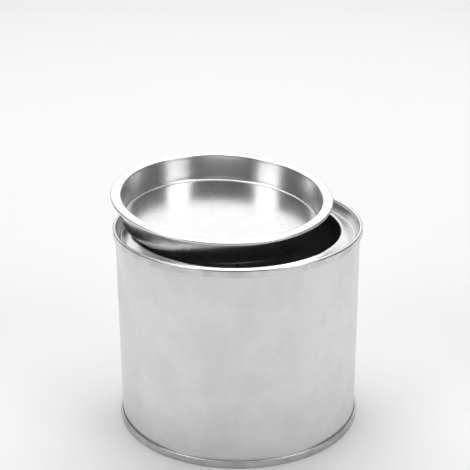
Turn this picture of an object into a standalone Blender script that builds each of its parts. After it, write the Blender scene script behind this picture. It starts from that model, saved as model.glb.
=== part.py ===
"""Tinplate paint can with a lever lid, half a litre.

The can is made the way a tinsmith makes it: a rolled and side-welded body sheet, a ring
seamed to its top, an end seamed to its bottom, sealing compound in both double seams, and
a loose plug lid that lies askew on the open mouth.

Frame: metres, +Z up, the can's axis on Z, the foot of the lower seam at z = 0.
"""

import math

import bpy
from mathutils import Vector

MM = 0.001

# Driving dimensions
CAN_HEIGHT = 84.5 * MM
SEAM_RADIUS = 50.7 * MM
SHEET = 0.22 * MM
SEAM_GAP = 0.10 * MM
SEAM_HEIGHT = 3.1 * MM
HOOK_LENGTH = 1.85 * MM
SEGMENTS = 40
BEND_STEP = math.radians(46)
MERGE_DISTANCE = 1e-6

# Layers of a double seam, from the outside in, each at the middle of its sheet
LAYER_PITCH = SHEET + SEAM_GAP
SEAMING_WALL = SEAM_RADIUS - SHEET / 2
BODY_HOOK = SEAMING_WALL - LAYER_PITCH
END_HOOK = BODY_HOOK - LAYER_PITCH
BODY_WALL = END_HOOK - LAYER_PITCH
CHUCK_WALL = BODY_WALL - LAYER_PITCH
OUTER_BEND = 0.40 * MM
INNER_BEND = 0.20 * MM
FOLD_BEND = LAYER_PITCH

# Side weld of the body, a pressed lap at the back
WELD_WIDTH = 1.0 * MM
WELD_PROUD = 0.10 * MM

# Top ring: the chuck wall leans in to a countersink, the panel climbs to a curled mouth
CHUCK_STRAIGHT = 1.17 * MM
CHUCK_LEAN = math.radians(20)
COUNTERSINK_DEPTH = 5.2 * MM
COUNTERSINK_BEND = 0.8 * MM
PANEL_SLOPE = math.radians(28)
MOUTH_RADIUS = 41.75 * MM
MOUTH_BEND = 0.75 * MM
MOUTH_WALL_END = 8.6 * MM

# Bottom end: the chuck wall rises to a groove, then the panel steps back down
END_GROOVE_HEIGHT = 4.9 * MM
END_GROOVE_WIDTH = 2.6 * MM
END_PANEL_HEIGHT = 3.7 * MM
END_STEP_RUN = 1.6 * MM
END_BEND = 0.7 * MM
BEAD_RADIUS = 34.0 * MM
BEAD_RISE = 0.7 * MM
BEAD_BEND = 0.6 * MM

# Lid: a flange with a rolled edge, a plug wall with a little draft and a flat floor
FLANGE_RADIUS = 45.5 * MM
ROLL_HEIGHT = 1.4 * MM
ROLL_BEND = 0.34 * MM
PLUG_RADIUS = 41.45 * MM
PLUG_DEPTH = 11.7 * MM
PLUG_DRAFT = 0.7 * MM
PLUG_BEND = 0.6 * MM
FLOOR_BEND = 1.2 * MM

# The lid's resting pose: centre of the flange's upper face, and its lean to right and front
LID_CENTRE = Vector((-6.3 * MM, 6.8 * MM, CAN_HEIGHT + 10.0 * MM))
LEAN_RIGHT = math.radians(2.6)
LEAN_FRONT = math.radians(5.1)


def clear_scene():
    """Removes every object that the scene starts with."""
    for obj in list(bpy.data.objects):
        bpy.data.objects.remove(obj, do_unlink=True)


def collection(name):
    """A new collection linked to the scene."""
    made = bpy.data.collections.new(name)
    bpy.context.scene.collection.children.link(made)
    return made


def material(name, colour, roughness, metallic):
    """A Principled material with one colour."""
    made = bpy.data.materials.new(name)
    made.use_nodes = True
    shader = made.node_tree.nodes["Principled BSDF"]
    shader.inputs["Base Color"].default_value = (*colour, 1.0)
    shader.inputs["Roughness"].default_value = roughness
    shader.inputs["Metallic"].default_value = metallic
    return made


def tinplate(name, roughness):
    """Bright tinned steel sheet."""
    return material(name, (0.72, 0.72, 0.73), roughness, 1.0)


def rounded_path(corners):
    """Points of a line through (radius, height, bend) corners, each rounded by its bend."""
    places = [Vector(corner[:2]) for corner in corners]
    path = [places[0]]
    for index in range(1, len(corners) - 1):
        arriving = (places[index] - places[index - 1]).normalized()
        leaving = (places[index + 1] - places[index]).normalized()
        turn = arriving.angle_signed(leaving)
        bend = corners[index][2]
        start = places[index] - arriving * bend * math.tan(abs(turn) / 2)
        side = 1 if turn > 0 else -1
        centre = start + Vector((arriving.y, -arriving.x)) * bend * side
        steps = max(1, math.ceil(abs(turn) / BEND_STEP))
        for step in range(steps + 1):
            angle = -turn * step / steps
            spoke = start - centre
            point = centre + Vector((
                spoke.x * math.cos(angle) - spoke.y * math.sin(angle),
                spoke.x * math.sin(angle) + spoke.y * math.cos(angle),
            ))
            if (point - path[-1]).length > MERGE_DISTANCE:
                path.append(point)
    path.append(places[-1])
    return path


def offset_side(path, distance):
    """The path moved sideways, mitred so that a bent sheet keeps its thickness."""
    moved = []
    for index, point in enumerate(path):
        arriving = path[index] - path[index - 1] if index else path[1] - path[0]
        leaving = path[index + 1] - point if index + 1 < len(path) else arriving
        arriving = arriving.normalized()
        leaving = leaving.normalized()
        across = Vector((-arriving.y - leaving.y, arriving.x + leaving.x)).normalized()
        mitre = across.dot(Vector((-arriving.y, arriving.x)))
        moved.append(point + across * distance / mitre)
    return moved


def sheet_section(path, thickness=SHEET):
    """The outline of a sheet around its middle line, running down its outer side."""
    outline = offset_side(path, thickness / 2) + offset_side(path, -thickness / 2)[::-1]
    area = sum(a.x * b.y - b.x * a.y for a, b in zip(outline, outline[1:] + outline[:1]))
    return outline if area < 0 else outline[::-1]


def turn(name, outline, surface, home):
    """An object turned around Z from a section, which may be open at the axis."""
    on_axis = [index for index, point in enumerate(outline) if point.x < MERGE_DISTANCE]
    if on_axis:
        first = next(index for index in on_axis if (index - 1) % len(outline) in on_axis)
        outline = outline[first:] + outline[:first]
    points = [(point.x, 0.0, point.y) for point in outline]
    edges = [(index, index + 1) for index in range(len(points) - 1)]
    if not on_axis:
        edges.append((len(points) - 1, 0))
    mesh = bpy.data.meshes.new(name)
    mesh.from_pydata(points, edges, [])
    mesh.materials.append(surface)
    obj = bpy.data.objects.new(name, mesh)
    home.objects.link(obj)
    screw = obj.modifiers.new("turned", "SCREW")
    screw.axis = "Z"
    screw.steps = SEGMENTS
    screw.render_steps = SEGMENTS
    screw.use_merge_vertices = True
    screw.merge_threshold = MERGE_DISTANCE
    screw.use_smooth_shade = True
    return obj


def hooked_end(height_of):
    """Corners of an end's seamed edge, from its hook round the seam to the chuck wall."""
    return [
        (END_HOOK, height_of(SEAM_HEIGHT - HOOK_LENGTH)),
        (END_HOOK, height_of(SEAM_HEIGHT - SHEET / 2), FOLD_BEND),
        (SEAMING_WALL, height_of(SEAM_HEIGHT - SHEET / 2), FOLD_BEND),
        (SEAMING_WALL, height_of(SHEET / 2), OUTER_BEND),
        (CHUCK_WALL, height_of(SHEET / 2), OUTER_BEND),
    ]


def hooked_body(height_of):
    """Corners of the body sheet's flange at one seam, from its hook to the wall."""
    crown = SHEET / 2 + LAYER_PITCH
    return [
        (BODY_HOOK, height_of(crown + HOOK_LENGTH)),
        (BODY_HOOK, height_of(crown), INNER_BEND),
        (BODY_WALL, height_of(crown), INNER_BEND),
    ]


def from_top(depth):
    return CAN_HEIGHT - depth


def from_foot(depth):
    return depth


def add_body_sheet(home, helpers):
    """The rolled wall, flanged into both seams, with its pressed side weld."""
    corners = hooked_body(from_top) + hooked_body(from_foot)[::-1]
    body = turn("body_sheet", sheet_section(rounded_path(corners)), tinplate("body_tin", 0.35), home)
    bpy.ops.mesh.primitive_cube_add(size=1)
    weld = bpy.context.active_object
    weld.name = "side_weld"
    for owner in list(weld.users_collection):
        owner.objects.unlink(weld)
    helpers.objects.link(weld)
    reach = SHEET / 2 + WELD_PROUD
    weld.scale = (WELD_WIDTH, reach, CAN_HEIGHT - 2 * SEAM_HEIGHT - 4 * SEAM_GAP)
    weld.location = (0, BODY_WALL + reach / 2, CAN_HEIGHT / 2)
    weld.hide_render = True
    weld.display_type = "WIRE"
    join = body.modifiers.new("weld", "BOOLEAN")
    join.operation = "UNION"
    join.object = weld


def add_top_ring(home):
    """The ring: seam, leaning chuck wall, countersink, climbing panel and curled mouth."""
    mouth = MOUTH_RADIUS + SHEET / 2
    lean_run = (COUNTERSINK_DEPTH - CHUCK_STRAIGHT) * math.tan(CHUCK_LEAN)
    countersink = CHUCK_WALL - lean_run
    climb = (countersink - mouth) * math.tan(PANEL_SLOPE)
    corners = hooked_end(from_top) + [
        (CHUCK_WALL, from_top(CHUCK_STRAIGHT), OUTER_BEND),
        (countersink, from_top(COUNTERSINK_DEPTH), COUNTERSINK_BEND),
        (mouth, from_top(COUNTERSINK_DEPTH - climb), MOUTH_BEND),
        (mouth, from_top(MOUTH_WALL_END)),
    ]
    turn("top_ring", sheet_section(rounded_path(corners)), tinplate("ring_tin", 0.28), home)


def add_bottom_end(home):
    """The end: seam, chuck wall, groove, stepped panel with one expansion bead."""
    groove_inside = CHUCK_WALL - END_GROOVE_WIDTH
    panel_edge = groove_inside - END_STEP_RUN
    corners = hooked_end(from_foot) + [
        (CHUCK_WALL, END_GROOVE_HEIGHT, END_BEND),
        (groove_inside, END_GROOVE_HEIGHT, END_BEND),
        (panel_edge, END_PANEL_HEIGHT, END_BEND),
        (BEAD_RADIUS, END_PANEL_HEIGHT, BEAD_BEND),
        (BEAD_RADIUS - END_STEP_RUN, END_PANEL_HEIGHT + BEAD_RISE, BEAD_BEND),
        (0.0, END_PANEL_HEIGHT + BEAD_RISE),
    ]
    turn("bottom_end", sheet_section(rounded_path(corners)), tinplate("end_tin", 0.35), home)


def add_seam_compound(name, height_of, home, surface):
    """The sealing compound caught between an end's hook and the body's flange."""
    hook_tip = SEAM_HEIGHT - HOOK_LENGTH
    crown = SHEET + SEAM_GAP + SHEET + SEAM_GAP
    middle = [
        Vector((END_HOOK, height_of(crown))),
        Vector((END_HOOK, height_of(hook_tip - SEAM_GAP))),
    ]
    turn(name, sheet_section(middle, SHEET), surface, home)


def add_lid(home):
    """The plug lid, turned about its own axis and laid askew on the mouth."""
    rim = FLANGE_RADIUS - SHEET / 2
    plug = PLUG_RADIUS - SHEET / 2
    floor = -PLUG_DEPTH + SHEET / 2
    corners = [
        (rim - 2 * ROLL_BEND, -ROLL_HEIGHT / 2),
        (rim - 2 * ROLL_BEND, -ROLL_HEIGHT + SHEET / 2, ROLL_BEND),
        (rim, -ROLL_HEIGHT + SHEET / 2, ROLL_BEND),
        (rim, -SHEET / 2, ROLL_BEND),
        (plug, -SHEET / 2, PLUG_BEND),
        (plug - PLUG_DRAFT, floor, FLOOR_BEND),
        (0.0, floor),
    ]
    lid = turn("lid", sheet_section(rounded_path(corners)), tinplate("lid_tin", 0.22), home)
    normal = Vector((math.tan(LEAN_RIGHT), -math.tan(LEAN_FRONT), 1.0))
    lid.rotation_euler = Vector((0, 0, 1)).rotation_difference(normal).to_euler()
    lid.location = LID_CENTRE


def main():
    clear_scene()
    can = collection("paint_can")
    helpers = collection("helpers")
    compound = material("seam_compound", (0.55, 0.52, 0.45), 0.7, 0.0)
    add_body_sheet(can, helpers)
    add_top_ring(can)
    add_bottom_end(can)
    add_seam_compound("top_seam_compound", from_top, can, compound)
    add_seam_compound("bottom_seam_compound", from_foot, can, compound)
    add_lid(can)


main()
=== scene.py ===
"""Looks of the tinplate paint can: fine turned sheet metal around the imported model.

Every piece is turned from a section of bent sheet, like the real pressings, at a
resolution that shows their bends, beads, weld, dents and the unevenness of thin tinplate.
"""

import math

import bpy
import numpy as np
from mathutils import Matrix, Vector


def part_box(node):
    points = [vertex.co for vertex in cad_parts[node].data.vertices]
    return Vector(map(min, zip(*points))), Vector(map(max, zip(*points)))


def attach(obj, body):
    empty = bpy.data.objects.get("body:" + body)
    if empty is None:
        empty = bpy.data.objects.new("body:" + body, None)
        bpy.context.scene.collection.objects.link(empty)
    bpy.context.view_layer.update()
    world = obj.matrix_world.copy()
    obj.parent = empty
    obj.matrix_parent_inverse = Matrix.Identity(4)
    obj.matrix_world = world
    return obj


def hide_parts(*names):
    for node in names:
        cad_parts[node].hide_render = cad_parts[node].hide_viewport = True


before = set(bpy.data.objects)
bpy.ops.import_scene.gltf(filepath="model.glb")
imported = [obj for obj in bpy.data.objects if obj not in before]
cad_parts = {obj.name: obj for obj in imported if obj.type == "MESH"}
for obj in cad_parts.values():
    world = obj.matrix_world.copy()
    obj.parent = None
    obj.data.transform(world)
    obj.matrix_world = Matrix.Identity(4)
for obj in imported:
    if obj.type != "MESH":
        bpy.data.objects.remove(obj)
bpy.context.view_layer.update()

MM = 0.001

# Sizes read from the frame
RING_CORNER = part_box("top_ring")[1]
CAN_HEIGHT = RING_CORNER[2]
SEAM_RADIUS = RING_CORNER[0]

# Sheet and double seam
SHEET = 0.22 * MM
LAYER_PITCH = 0.32 * MM
SEAM_HEIGHT = 3.1 * MM
HOOK_LENGTH = 1.85 * MM
SEAMING_WALL = SEAM_RADIUS - SHEET / 2
BODY_HOOK = SEAMING_WALL - LAYER_PITCH
END_HOOK = BODY_HOOK - LAYER_PITCH
BODY_WALL = END_HOOK - LAYER_PITCH
CHUCK_WALL = BODY_WALL - LAYER_PITCH
CROWN_BEND = 0.56 * MM
BODY_BEND = 0.30 * MM

# Top ring
CHUCK_STRAIGHT = 1.17 * MM
CHUCK_LEAN = math.radians(20)
COUNTERSINK_DEPTH = 5.2 * MM
COUNTERSINK_BEND = 0.8 * MM
PANEL_SLOPE = math.radians(28)
MOUTH_RADIUS = 41.75 * MM
MOUTH_BEND = 0.75 * MM
MOUTH_WALL_END = 8.6 * MM

# Bottom end
END_GROOVE_HEIGHT = 4.9 * MM
END_GROOVE_WIDTH = 2.6 * MM
END_PANEL_HEIGHT = 3.7 * MM
END_STEP_RUN = 1.6 * MM
END_BEND = 0.7 * MM
BEAD_RADIUS = 34.0 * MM
BEAD_RISE = 0.7 * MM

# Lid, and the pose it lies in
FLANGE_RADIUS = 45.5 * MM
ROLL_HEIGHT = 1.4 * MM
ROLL_BEND = 0.34 * MM
PLUG_RADIUS = 41.45 * MM
PLUG_DEPTH = 11.7 * MM
PLUG_DRAFT = 0.7 * MM
PLUG_BEND = 0.6 * MM
FLOOR_BEND = 1.2 * MM
LID_CENTRE = Vector((-6.3 * MM, 6.8 * MM, CAN_HEIGHT + 10.0 * MM))
LEAN_RIGHT = math.radians(2.6)
LEAN_FRONT = math.radians(5.1)

# Fineness of the turned meshes
SEGMENTS = 360
BEND_STEP = math.radians(12)
WALL_STEP = 1.5 * MM
FLOOR_STEP = 2.0 * MM
SHARP_EDGE = math.radians(50)
SAME_POINT = 1e-7

# Side weld, a squashed lap at the back
WELD_AZIMUTH = math.pi / 2
WELD_HALF_WIDTH = 0.45 * MM
WELD_RISE = 0.09 * MM
WELD_BEAD_PITCH = 0.42 * MM
WELD_END_CLEARANCE = 1.2 * MM
WELD_MESH_REACH = 1.4 * MM
WELD_MESH_COLUMNS = 29

# Unevenness of the rolled body, which fades out towards the seams
LOOSE_REACH = 9 * MM
FLUTES = (  # how many round the can, height in mm, phase, twist per metre of height
    (3, 0.060, 0.9, 0.0),
    (5, 0.034, 2.4, 4.0),
    (11, 0.016, 0.3, 0.0),
    (23, 0.007, 1.1, 9.0),
)
DENTS = (  # azimuth in degrees, then height up the wall, depth and reach in mm
    (-118, 31, 0.14, 9),
    (-46, 58, 0.10, 7),
    (24, 40, 0.20, 8),
    (151, 52, 0.18, 10),
)

# Unevenness of the ring, the end and the lid
SEAM_ROLLED_FROM = 50.2 * MM
SEAM_ROLLED_RUN = 0.4 * MM
SEAM_ROLLING = 0.012 * MM
RING_PANEL_MIDDLE = 44.6 * MM
RING_PANEL_WIDTH = 1.8 * MM
NICK_AZIMUTH = math.radians(318)
NICK_RADIUS = 42.2 * MM
NICK_DEPTH = 0.18 * MM
END_BELLY = 0.25 * MM
LID_BELLY_RADIUS = 36 * MM
LID_FLOOR_BELOW = -10 * MM
LID_WALL_BELOW = -1.5 * MM
LID_WALL_OUTSIDE = 38.5 * MM


# ---------------------------------------------------------------- sheet metal

def rounded_path(corners, step=WALL_STEP):
    """Points of a line through (radius, height, bend) corners, rounded and subdivided."""
    places = [Vector(corner[:2]) for corner in corners]
    bends = [places[0]]
    for index in range(1, len(corners) - 1):
        arriving = (places[index] - places[index - 1]).normalized()
        leaving = (places[index + 1] - places[index]).normalized()
        turn = arriving.angle_signed(leaving)
        bend = corners[index][2]
        start = places[index] - arriving * bend * math.tan(abs(turn) / 2)
        side = 1 if turn > 0 else -1
        centre = start + Vector((arriving.y, -arriving.x)) * bend * side
        spoke = start - centre
        steps = max(1, math.ceil(abs(turn) / BEND_STEP))
        for angle in np.linspace(0, -turn, steps + 1):
            bends.append(centre + Vector((
                spoke.x * math.cos(angle) - spoke.y * math.sin(angle),
                spoke.x * math.sin(angle) + spoke.y * math.cos(angle),
            )))
    bends.append(places[-1])
    path = [bends[0]]
    for point in bends[1:]:
        run = point - path[-1]
        if run.length < SAME_POINT:
            continue
        pieces = max(1, math.ceil(run.length / step))
        start = path[-1]
        path.extend(start + run * (piece + 1) / pieces for piece in range(pieces))
    return path


def offset_side(path, distance):
    """The path moved sideways, mitred so that a bent sheet keeps its thickness."""
    moved = []
    for index, point in enumerate(path):
        arriving = path[index] - path[index - 1] if index else path[1] - path[0]
        leaving = path[index + 1] - point if index + 1 < len(path) else arriving
        arriving = arriving.normalized()
        leaving = leaving.normalized()
        across = Vector((-arriving.y - leaving.y, arriving.x + leaving.x)).normalized()
        mitre = across.dot(Vector((-arriving.y, arriving.x)))
        moved.append(point + across * distance / mitre)
    return moved


def sheet_section(path):
    """The outline of the sheet around its middle line, clockwise, as (radius, height)."""
    outline = offset_side(path, SHEET / 2) + offset_side(path, -SHEET / 2)[::-1]
    ring = np.array([tuple(point) for point in outline])
    following = np.roll(ring, -1, axis=0)
    area = (ring[:, 0] * following[:, 1] - following[:, 0] * ring[:, 1]).sum()
    return ring if area < 0 else ring[::-1]


def turned(name, section, uneven=None, azimuths=None):
    """A closed mesh turned around Z; uneven moves its (radius, azimuth, height) points."""
    if azimuths is None:
        azimuths = np.linspace(0, 2 * math.pi, SEGMENTS, endpoint=False)
    on_axis = np.flatnonzero(section[:, 0] < SAME_POINT)
    if len(on_axis):
        first = next(i for i in on_axis if (i - 1) % len(section) in on_axis)
        section = np.roll(section, -first, axis=0)
    rows, columns = len(section), len(azimuths)
    radius = np.repeat(section[:, 0][None], columns, axis=0)
    height = np.repeat(section[:, 1][None], columns, axis=0)
    azimuth = np.repeat(np.asarray(azimuths)[:, None], rows, axis=1)
    if uneven:
        radius, height = uneven(radius, azimuth, height)
    points = np.stack([radius * np.cos(azimuth), radius * np.sin(azimuth), height], axis=-1)
    if len(on_axis):
        inner = [tuple(point) for point in points[:, 1:-1].reshape(-1, 3)]
        ends = [(0.0, 0.0, float(points[:, i, 2].mean())) for i in (0, -1)]
        rows -= 2
        verts = inner + ends
        top, low = len(inner), len(inner) + 1
    else:
        verts = [tuple(point) for point in points.reshape(-1, 3)]
    faces = []
    for column in range(columns):
        here, there = column * rows, (column + 1) % columns * rows
        for row in range(rows - 1):
            faces.append((here + row, here + row + 1, there + row + 1, there + row))
        if len(on_axis):
            faces.append((top, here, there))
            faces.append((low, there + rows - 1, here + rows - 1))
        else:
            faces.append((here + rows - 1, here, there, there + rows - 1))
    mesh = bpy.data.meshes.new(name)
    mesh.from_pydata(verts, [], faces)
    mesh.validate()
    mesh.shade_smooth()
    mesh.set_sharp_from_angle(angle=SHARP_EDGE)
    obj = bpy.data.objects.new(name, mesh)
    bpy.context.scene.collection.objects.link(obj)
    return obj


def from_top(depth):
    return CAN_HEIGHT - depth


def from_foot(depth):
    return depth


def seamed_edge(height_of):
    """Corners of an end's seamed edge, from its hook round the seam to the chuck wall."""
    return [
        (END_HOOK, height_of(SEAM_HEIGHT - HOOK_LENGTH)),
        (END_HOOK, height_of(SEAM_HEIGHT - SHEET / 2), LAYER_PITCH),
        (SEAMING_WALL, height_of(SEAM_HEIGHT - SHEET / 2), LAYER_PITCH),
        (SEAMING_WALL, height_of(SHEET / 2), CROWN_BEND),
        (CHUCK_WALL, height_of(SHEET / 2), CROWN_BEND),
    ]


# ---------------------------------------------------------------- unevenness

def bump(value, centre, width):
    """A bell curve, 1 at its centre."""
    return np.exp(-((value - centre) / width) ** 2)


def fade_past(value, edge, width):
    """A soft step, from 1 below the edge to 0 above it."""
    return 1 / (1 + np.exp(np.clip((value - edge) / width, -60, 60)))


def flutes(azimuth, height):
    """The long waves that rolling leaves in thin sheet."""
    waves = [
        size * np.cos(count * azimuth + phase + twist * height)
        for count, size, phase, twist in FLUTES
    ]
    return sum(waves) * MM


def dents(azimuth, height):
    """Soft dents in the wall of the can."""
    total = 0.0
    for degrees, place, depth, reach in DENTS:
        away = np.angle(np.exp(1j * (azimuth - math.radians(degrees)))) * SEAM_RADIUS
        distance = away ** 2 + (height - place * MM) ** 2
        total = total - depth * MM * np.exp(-distance / (reach * MM) ** 2)
    return total


def seam_rolling(radius, azimuth, waves):
    """The faint ripple that the seaming rolls leave on a seam's outer wall."""
    outside = np.clip((radius - SEAM_ROLLED_FROM) / SEAM_ROLLED_RUN, 0, 1)
    return SEAM_ROLLING * outside * sum(np.cos(count * azimuth + phase) for count, phase in waves)


def uneven_body(radius, azimuth, height):
    """Thin sheet rolled to a cylinder: faint flutes, soft dents and the side weld."""
    free = np.clip(np.minimum(height, CAN_HEIGHT - height) - SEAM_HEIGHT, 0, None)
    loose = 1 - np.exp(-free / LOOSE_REACH)
    across = np.abs(azimuth - WELD_AZIMUTH) * BODY_WALL
    on_weld = fade_past(across, WELD_HALF_WIDTH, 0.07 * MM)
    clear_of_seams = fade_past(-free, -WELD_END_CLEARANCE, 0.15 * MM)
    beads = 1 + 0.18 * np.cos(height / WELD_BEAD_PITCH)
    side = np.where(radius > BODY_WALL, 1.0, -0.4)
    weld = WELD_RISE * on_weld * clear_of_seams * beads * side
    return radius + (flutes(azimuth, height) + dents(azimuth, height)) * loose + weld, height


def uneven_ring(radius, azimuth, height):
    """A pressed ring: its panel waves a little, its mouth has a nick, its seam is rolled."""
    panel = bump(radius, RING_PANEL_MIDDLE, RING_PANEL_WIDTH)
    wave = (0.035 * np.cos(4 * azimuth + 0.7) + 0.02 * np.cos(9 * azimuth + 2.0)) * MM
    nick = NICK_DEPTH * bump(azimuth, NICK_AZIMUTH, 0.05) * bump(radius, NICK_RADIUS, 0.5 * MM)
    rolling = seam_rolling(radius, azimuth, ((37, 0.0), (61, 1.0)))
    return radius + rolling, height + wave * panel - nick


def uneven_end(radius, azimuth, height):
    """The bottom end: a rolled seam, and a panel that bellies a little."""
    belly = END_BELLY * np.clip(1 - (radius / BEAD_RADIUS) ** 2, 0, 1)
    return radius + seam_rolling(radius, azimuth, ((31, 0.4), (57, 0.0))), height + belly


def uneven_lid(radius, azimuth, height):
    """The lid: a floor that is not quite flat, and a flange and wall that wave slightly."""
    floor = np.clip(1 - (radius / LID_BELLY_RADIUS) ** 2, 0, 1) * (height < LID_FLOOR_BELOW)
    x, y = radius * np.cos(azimuth), radius * np.sin(azimuth)
    belly = (
        0.16 * np.cos(x / (17 * MM) + 0.5) * np.cos(y / (21 * MM) - 0.7)
        + 0.03 * np.cos(x / (6 * MM)) * np.cos(y / (7 * MM) + 1.0)
    ) * MM * floor
    flange = np.clip((radius - PLUG_RADIUS) / (2 * MM), 0, 1)
    wave = (0.06 * np.cos(3 * azimuth + 1.0) + 0.02 * np.cos(8 * azimuth)) * MM * flange
    wall = (height < LID_WALL_BELOW) * (radius > LID_WALL_OUTSIDE)
    out_of_round = 0.03 * MM * np.cos(6 * azimuth + 0.4) * wall
    return radius + out_of_round, height + belly + wave


# ---------------------------------------------------------------- materials

class Shader:
    """A small helper that adds linked nodes to one Principled material."""

    def __init__(self, name):
        self.material = bpy.data.materials.new(name)
        self.material.use_nodes = True
        self.tree = self.material.node_tree
        self.bsdf = self.tree.nodes["Principled BSDF"]
        self.place = self.tree.nodes.new("ShaderNodeTexCoord").outputs["Object"]

    def node(self, kind, **inputs):
        made = self.tree.nodes.new(kind)
        for key, value in inputs.items():
            self.put(made.inputs[key.replace("_", " ")], value)
        return made

    def put(self, socket, value):
        if isinstance(value, bpy.types.NodeSocket):
            self.tree.links.new(value, socket)
        else:
            socket.default_value = value

    def math(self, operation, *values):
        made = self.tree.nodes.new("ShaderNodeMath")
        made.operation = operation
        for socket, value in zip(made.inputs, values):
            self.put(socket, value)
        return made.outputs[0]

    def stretched(self, scale):
        return self.node("ShaderNodeMapping", Vector=self.place, Scale=scale).outputs[0]

    def noise(self, scale, detail=3.0, roughness=0.55, stretch=None):
        vector = self.stretched(stretch) if stretch else self.place
        made = self.node("ShaderNodeTexNoise", Vector=vector, Scale=scale, Detail=detail)
        made.inputs["Roughness"].default_value = roughness
        return made.outputs["Fac"]

    def span(self, value, low, high, to_low=0.0, to_high=1.0):
        made = self.tree.nodes.new("ShaderNodeMapRange")
        made.interpolation_type = "SMOOTHSTEP"
        for key, item in (("Value", value), ("From Min", low), ("From Max", high),
                          ("To Min", to_low), ("To Max", to_high)):
            self.put(made.inputs[key], item)
        return made.outputs[0]

    def mix(self, factor, first, second):
        made = self.tree.nodes.new("ShaderNodeMix")
        made.data_type = "RGBA"
        colours = [socket for socket in made.inputs if socket.type == "RGBA"]
        self.put(made.inputs[0], factor)
        self.put(colours[0], first)
        self.put(colours[1], second)
        return next(socket for socket in made.outputs if socket.type == "RGBA")

    def axes(self):
        made = self.node("ShaderNodeSeparateXYZ", Vector=self.place)
        return made.outputs

    def bumped(self, height, strength, distance, below=None):
        made = self.node("ShaderNodeBump", Height=height, Strength=strength, Distance=distance)
        if below:
            self.put(made.inputs["Normal"], below)
        return made.outputs[0]


# The direction that the sheet was rolled in, along which its grain is drawn out
GRAIN_UPRIGHT = (1.0, 1.0, 0.03)
GRAIN_SIDEWAYS = (0.04, 1.0, 1.0)
GRAIN_ENDWAYS = (1.0, 0.04, 1.0)


def grey(value, warm=0.0):
    return (value + warm, value, value - warm, 1.0)


def tinplate(name, bright, rough, grain_stretch, grain, smudge=0.06):
    """Tinned steel: rolling grain, cloudy tin, handling smudges and fine scratches."""
    s = Shader(name)
    s.bsdf.inputs["Metallic"].default_value = 1.0
    fine = s.noise(900.0, 4.0, 0.6, grain_stretch)
    cloud = s.noise(60.0, 5.0, 0.62)
    patch = s.noise(22.0, 3.0, 0.5)
    speck = s.noise(1500.0, 2.0, 0.5)
    tone = s.mix(s.span(cloud, 0.3, 0.72), grey(bright - 0.05), grey(bright + 0.03, 0.002))
    tone = s.mix(s.span(patch, 0.56, 0.72, 0.0, 0.35), tone, grey(bright - 0.13))
    tone = s.mix(s.span(speck, 0.70, 0.78, 0.0, 0.5), tone, grey(bright - 0.28))
    roughness = s.math("ADD", rough - 0.05, s.math("MULTIPLY", fine, 0.10))
    roughness = s.math("ADD", roughness, s.span(patch, 0.52, 0.70, 0.0, smudge))
    roughness = s.math("ADD", roughness, s.span(cloud, 0.45, 0.75, 0.0, smudge * 0.6))
    relief = s.bumped(cloud, 0.12, 0.05 * MM)
    relief = s.bumped(fine, grain, 0.02 * MM, relief)
    s.put(s.bsdf.inputs["Roughness"], roughness)
    s.put(s.bsdf.inputs["Base Color"], tone)
    s.put(s.bsdf.inputs["Normal"], relief)
    return s, tone


def body_material():
    """The body's tinplate, with the heat-tinted weld down its back."""
    s, tone = tinplate("tinplate_body_look", 0.72, 0.30, GRAIN_UPRIGHT, grain=0.30)
    x, y, _ = s.axes()
    side = s.math("ABSOLUTE", x)
    behind = s.math("GREATER_THAN", y, 0.0)
    heat = s.math("MULTIPLY", s.span(side, 3.4 * MM, 0.8 * MM), behind)
    weld = s.math("MULTIPLY", s.span(side, 0.62 * MM, 0.42 * MM), behind)
    tone = s.mix(s.math("MULTIPLY", heat, 0.55), tone, (0.47, 0.43, 0.38, 1.0))
    tone = s.mix(s.math("MULTIPLY", weld, 0.8), tone, (0.30, 0.31, 0.34, 1.0))
    s.put(s.bsdf.inputs["Base Color"], tone)
    return s.material


def seamed_material(name, bright, rough):
    """Pressed tinplate, with a painted dark reflection along the seam's outer wall."""
    s, tone = tinplate(name, bright, rough, GRAIN_SIDEWAYS, grain=0.22)
    x, y, _ = s.axes()
    away = s.math("SQRT", s.math("ADD", s.math("MULTIPLY", x, x), s.math("MULTIPLY", y, y)))
    # Painted dark reflection: the seam's outer wall, its last 0.25 mm out to the seam radius, is
    # darkened in broken patches in place of the dark surroundings it reflects
    seam_wall_dark_reflection = s.span(away, SEAM_RADIUS - 0.25 * MM, SEAM_RADIUS - 0.05 * MM)
    patchy_seam_dark_reflection = s.math("MULTIPLY", seam_wall_dark_reflection, s.span(s.noise(130.0, 3.0), 0.35, 0.65, 0.25, 0.8))
    tone = s.mix(patchy_seam_dark_reflection, tone, grey(bright - 0.24))
    s.put(s.bsdf.inputs["Base Color"], tone)
    return s.material


def lid_material():
    """Pressed tinplate, a little brighter and smoother than the can."""
    s, _ = tinplate("tinplate_lid_look", 0.76, 0.22, GRAIN_ENDWAYS, grain=0.22, smudge=0.05)
    return s.material


def compound_material():
    """Matt rubber sealing compound, faintly mottled."""
    s = Shader("seam_compound_look")
    mottle = s.noise(800.0, 3.0)
    s.put(s.bsdf.inputs["Base Color"], s.mix(mottle, (0.50, 0.47, 0.40, 1), (0.60, 0.57, 0.50, 1)))
    s.put(s.bsdf.inputs["Roughness"], s.math("ADD", 0.62, s.math("MULTIPLY", mottle, 0.2)))
    s.put(s.bsdf.inputs["Normal"], s.bumped(mottle, 0.3, 0.03 * MM))
    return s.material


# ---------------------------------------------------------------- pieces

def finish_piece(piece, body, node, surface):
    """Gives a piece its material and the body it rides on, and hides the CAD node it stands for.
    """
    piece.data.materials.append(surface)
    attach(piece, body)
    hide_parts(node)


def body_azimuths():
    """Even steps round the can, with fine ones across the weld."""
    even = np.linspace(0, 2 * math.pi, SEGMENTS, endpoint=False)
    reach = WELD_MESH_REACH / BODY_WALL
    fine = WELD_AZIMUTH + np.linspace(-reach, reach, WELD_MESH_COLUMNS)
    return np.sort(np.concatenate([even[np.abs(even - WELD_AZIMUTH) > reach * 1.05], fine]))


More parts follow.
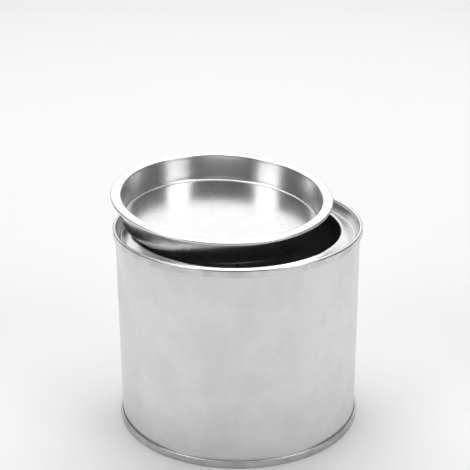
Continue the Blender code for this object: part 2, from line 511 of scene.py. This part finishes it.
def make_body():
    crown = SHEET / 2 + LAYER_PITCH
    flanges = [
        [
            (BODY_HOOK, height_of(crown + HOOK_LENGTH)),
            (BODY_HOOK, height_of(crown), BODY_BEND),
            (BODY_WALL, height_of(crown), BODY_BEND),
        ]
        for height_of in (from_top, from_foot)
    ]
    path = rounded_path(flanges[0] + flanges[1][::-1])
    piece = turned("body_sheet_look", sheet_section(path), uneven_body, body_azimuths())
    finish_piece(piece, "can", "body_sheet", body_material())


def make_ring():
    mouth = MOUTH_RADIUS + SHEET / 2
    countersink = CHUCK_WALL - (COUNTERSINK_DEPTH - CHUCK_STRAIGHT) * math.tan(CHUCK_LEAN)
    climb = (countersink - mouth) * math.tan(PANEL_SLOPE)
    path = rounded_path(seamed_edge(from_top) + [
        (CHUCK_WALL, from_top(CHUCK_STRAIGHT), CROWN_BEND),
        (countersink, from_top(COUNTERSINK_DEPTH), COUNTERSINK_BEND),
        (mouth, from_top(COUNTERSINK_DEPTH - climb), MOUTH_BEND),
        (mouth, from_top(MOUTH_WALL_END)),
    ])
    piece = turned("top_ring_look", sheet_section(path), uneven_ring)
    surface = seamed_material("tinplate_ring_look", bright=0.74, rough=0.24)
    finish_piece(piece, "can", "top_ring", surface)


def make_end():
    groove_inside = CHUCK_WALL - END_GROOVE_WIDTH
    path = rounded_path(seamed_edge(from_foot) + [
        (CHUCK_WALL, END_GROOVE_HEIGHT, END_BEND),
        (groove_inside, END_GROOVE_HEIGHT, END_BEND),
        (groove_inside - END_STEP_RUN, END_PANEL_HEIGHT, END_BEND),
        (BEAD_RADIUS, END_PANEL_HEIGHT, END_BEND),
        (BEAD_RADIUS - END_STEP_RUN, END_PANEL_HEIGHT + BEAD_RISE, END_BEND),
        (0.0, END_PANEL_HEIGHT + BEAD_RISE),
    ], FLOOR_STEP)
    piece = turned("bottom_end_look", sheet_section(path), uneven_end)
    surface = seamed_material("tinplate_end_look", bright=0.70, rough=0.30)
    finish_piece(piece, "can", "bottom_end", surface)


def make_lid():
    rim = FLANGE_RADIUS - SHEET / 2
    plug = PLUG_RADIUS - SHEET / 2
    floor = -PLUG_DEPTH + SHEET / 2
    path = rounded_path([
        (rim - 2 * ROLL_BEND, -ROLL_HEIGHT / 2),
        (rim - 2 * ROLL_BEND, -ROLL_HEIGHT + SHEET / 2, ROLL_BEND),
        (rim, -ROLL_HEIGHT + SHEET / 2, ROLL_BEND),
        (rim, -SHEET / 2, ROLL_BEND),
        (plug, -SHEET / 2, PLUG_BEND),
        (plug - PLUG_DRAFT, floor, FLOOR_BEND),
        (0.0, floor),
    ])
    piece = turned("lid_look", sheet_section(path), uneven_lid)
    normal = Vector((math.tan(LEAN_RIGHT), -math.tan(LEAN_FRONT), 1.0))
    piece.rotation_euler = Vector((0, 0, 1)).rotation_difference(normal).to_euler()
    piece.location = LID_CENTRE
    bpy.context.view_layer.update()
    finish_piece(piece, "lid", "lid", lid_material())


def dress_compound():
    surface = compound_material()
    for node in ("top_seam_compound", "bottom_seam_compound"):
        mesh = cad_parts[node].data
        mesh.materials.clear()
        mesh.materials.append(surface)


# ---------------------------------------------------------------- studio

CAMERA_PLACE = (-1.1 * MM, -432.0 * MM, 246.6 * MM)
CAMERA_DIP = math.radians(21.23)
CAMERA_ROLL = math.radians(-0.35)
CAMERA_LENS = 86.8
FLOOR_SIDE = 5.0
FLOOR_GREY = 0.86
ROOM_GREY = 0.16
BACKDROP_GREY = 0.92
LIGHTS_AIM = (0.0, 0.0, 0.06)
SOFTBOXES = (  # name, place, width and height, radiance
    ("overhead", (0.0, 0.35, 1.5), (1.7, 1.5), 2.6),
    ("back", (0.0, 1.9, 1.15), (3.0, 1.3), 1.15),
    ("front_left", (-1.35, -0.95, 0.95), (0.9, 1.1), 2.2),
    ("front_right", (1.35, -0.95, 0.95), (0.9, 1.1), 2.2),
)


def make_floor():
    bpy.ops.mesh.primitive_plane_add(size=FLOOR_SIDE)
    floor = bpy.context.active_object
    floor.name = "floor"
    s = Shader("floor_paper")
    mottle = s.noise(6.0, 4.0)
    tone = s.mix(mottle, grey(FLOOR_GREY - 0.01), grey(FLOOR_GREY + 0.01))
    s.put(s.bsdf.inputs["Base Color"], tone)
    s.bsdf.inputs["Roughness"].default_value = 0.9
    s.bsdf.inputs["Specular IOR Level"].default_value = 0.1
    floor.data.materials.append(s.material)


def softbox(name, place, size, radiance):
    """An area light of a given radiance, turned to the can."""
    data = bpy.data.lights.new(name, "AREA")
    data.shape = "RECTANGLE"
    data.size, data.size_y = size
    data.energy = radiance * math.pi * size[0] * size[1]
    light = bpy.data.objects.new(name, data)
    light.location = place
    way = Vector(LIGHTS_AIM) - Vector(place)
    light.rotation_euler = way.to_track_quat("-Z", "Y").to_euler()
    light.visible_camera = False
    bpy.context.scene.collection.objects.link(light)


def make_lights():
    """Four softboxes, and a dim room that the camera sees as a pale backdrop."""
    for name, place, size, radiance in SOFTBOXES:
        softbox(name, place, size, radiance)
    world = bpy.data.worlds.new("studio")
    bpy.context.scene.world = world
    world.use_nodes = True
    nodes, links = world.node_tree.nodes, world.node_tree.links
    room = nodes["Background"]
    room.inputs["Color"].default_value = grey(ROOM_GREY)
    seen = nodes.new("ShaderNodeBackground")
    seen.inputs["Color"].default_value = grey(BACKDROP_GREY)
    chosen = nodes.new("ShaderNodeMixShader")
    links.new(nodes.new("ShaderNodeLightPath").outputs["Is Camera Ray"], chosen.inputs[0])
    links.new(room.outputs[0], chosen.inputs[1])
    links.new(seen.outputs[0], chosen.inputs[2])
    links.new(chosen.outputs[0], nodes["World Output"].inputs["Surface"])


def make_camera():
    data = bpy.data.cameras.new("camera")
    data.lens = CAMERA_LENS
    camera = bpy.data.objects.new("camera", data)
    camera.location = CAMERA_PLACE
    turn = Matrix.Rotation(math.pi / 2 - CAMERA_DIP, 4, "X") @ Matrix.Rotation(CAMERA_ROLL, 4, "Z")
    camera.rotation_euler = turn.to_euler()
    bpy.context.scene.collection.objects.link(camera)
    bpy.context.scene.camera = camera


make_body()
make_ring()
make_end()
make_lid()
dress_compound()
make_floor()
make_lights()
make_camera()
bpy.context.scene.view_settings.view_transform = "Standard"
